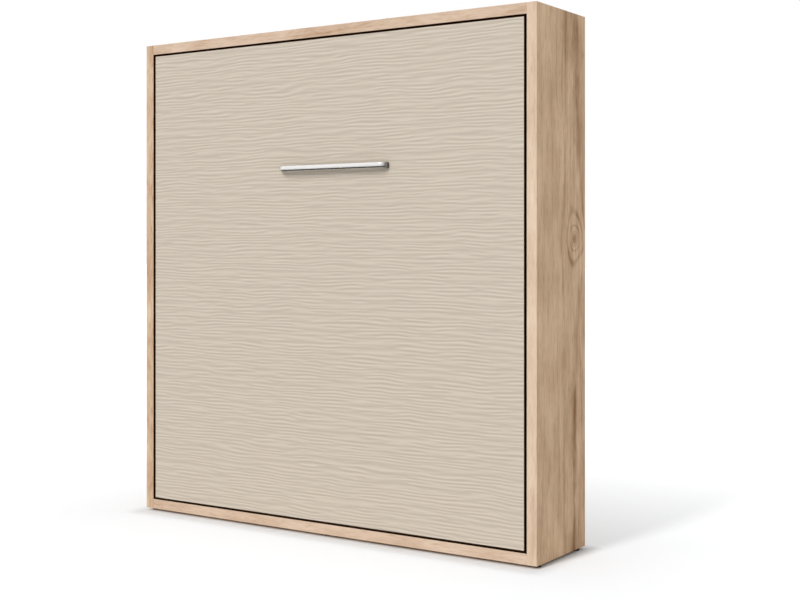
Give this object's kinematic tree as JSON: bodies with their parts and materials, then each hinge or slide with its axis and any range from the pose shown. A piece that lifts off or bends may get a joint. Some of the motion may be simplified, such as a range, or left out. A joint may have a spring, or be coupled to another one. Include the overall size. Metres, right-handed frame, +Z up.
{
  "type": "wall bed",
  "caption": "Upright wall bed: an oak-decor cabinet whose wide pale front panel folds down on low pivots with a slatted mattress behind it, helped by gas struts.",
  "frame": {"origin": "on the floor under the middle of the bounding box, with the bed folded up", "axes": "+X to the right seen from the room, -Y towards the room, +Y towards the wall, +Z up"},
  "size_m": [2.07, 0.462, 2.188],
  "materials": {
    "oak_decor": "oak-grain decor foil, matt",
    "wavy_decor": "pale beige decor with fine wavy lines, matt",
    "plywood": "bare laminated birch, satin",
    "softwood": "planed pine, matt",
    "seal_foam": "black foam strip, matt",
    "black_rubber": "black rubber, matt",
    "black_plastic": "black moulded plastic, matt",
    "white_nylon": "natural nylon, satin",
    "zinc_steel": "zinc-plated steel, satin",
    "satin_nickel": "satin nickel-plated steel",
    "chrome_rod": "hard-chromed steel, polished",
    "black_paint": "black paint, semi-gloss",
    "silver_paint": "silver powder coat, satin",
    "mattress_cover": "quilted white knit over foam",
    "webbing": "dark grey woven webbing"
  },
  "bodies": {
    "cabinet": {"left_side_panel": "oak_decor", "right_side_panel": "oak_decor", "top_panel": "oak_decor", "bottom_panel": "oak_decor", "headboard": "oak_decor", "rear_top_rail": "oak_decor", "rear_bottom_rail": "oak_decor", "left_stop_strip": "oak_decor", "right_stop_strip": "oak_decor", "top_stop_strip": "oak_decor", "seal_strips": "seal_foam", "gap_seals": "seal_foam", "left_pivot_plate": "zinc_steel", "right_pivot_plate": "zinc_steel", "pivot_pins": "zinc_steel", "strut_upper_studs": "zinc_steel", "pivot_plate_screws": "zinc_steel", "cam_locks": "zinc_steel", "wall_brackets": "zinc_steel", "wall_bracket_screws": "zinc_steel", "floor_glides": "black_plastic"},
    "bed": {"front_panel": "wavy_decor", "panel_edge_band": "black_plastic", "handle": "satin_nickel", "handle_screws": "zinc_steel", "left_bed_rail": "oak_decor", "right_bed_rail": "oak_decor", "head_rail": "oak_decor", "foot_rail": "oak_decor", "panel_battens": "softwood", "batten_screws": "zinc_steel", "centre_beam": "softwood", "left_slat_ledger": "softwood", "right_slat_ledger": "softwood", "left_slats": "plywood", "right_slats": "plywood", "outer_slat_cups": "black_plastic", "centre_slat_cups": "black_plastic", "left_hinge_plate": "zinc_steel", "right_hinge_plate": "zinc_steel", "hinge_plate_screws": "zinc_steel", "pivot_bushes": "white_nylon", "strut_lower_studs": "zinc_steel", "corner_brackets": "zinc_steel", "mattress": "mattress_cover", "head_strap": "webbing", "foot_strap": "webbing", "strap_buckles": "black_plastic", "left_bow_bracket": "zinc_steel", "right_bow_bracket": "zinc_steel", "foot_bow_bolts": "zinc_steel", "bow_bracket_screws": "zinc_steel"},
    "bow": {"foot_bow": "silver_paint", "foot_bow_feet": "black_rubber", "foot_bow_caps": "black_plastic"},
    "left_tube": {"left_strut_tube": "black_paint"},
    "right_tube": {"right_strut_tube": "black_paint"},
    "left_rod": {"left_strut_rod": "chrome_rod"},
    "right_rod": {"right_strut_rod": "chrome_rod"}
  },
  "joints": [
    {"name": "bed_fold", "type": "hinge", "parent": "cabinet", "child": "bed", "pos_m": [0, -0.148, 0.298], "axis": [1, 0, 0], "range_deg": [0, 90]},
    {"name": "bow_swing", "type": "hinge", "parent": "bed", "child": "bow", "pos_m": [0, -0.144, 2.038], "axis": [1, 0, 0], "range_deg": [0, 180]},
    {"name": "left_tube_swing", "type": "hinge", "parent": "cabinet", "child": "left_tube", "pos_m": [-0.959, -0.122, 0.502], "axis": [1, 0, 0], "range_deg": [0, 45]},
    {"name": "left_rod_swing", "type": "hinge", "parent": "bed", "child": "left_rod", "pos_m": [-0.959, -0.122, 0.094], "axis": [1, 0, 0], "range_deg": [-45, 0]},
    {"name": "right_tube_swing", "type": "hinge", "parent": "cabinet", "child": "right_tube", "pos_m": [0.959, -0.122, 0.502], "axis": [1, 0, 0], "range_deg": [0, 45]},
    {"name": "right_rod_swing", "type": "hinge", "parent": "bed", "child": "right_rod", "pos_m": [0.959, -0.122, 0.094], "axis": [1, 0, 0], "range_deg": [-45, 0]}
  ],
  "couplings": [
    {"joint": "bow_swing", "follows": "bed_fold", "ratio": 2},
    {"joint": "left_tube_swing", "follows": "bed_fold", "ratio": 0.5},
    {"joint": "left_rod_swing", "follows": "bed_fold", "ratio": -0.5},
    {"joint": "right_tube_swing", "follows": "bed_fold", "ratio": 0.5},
    {"joint": "right_rod_swing", "follows": "bed_fold", "ratio": -0.5}
  ]
}
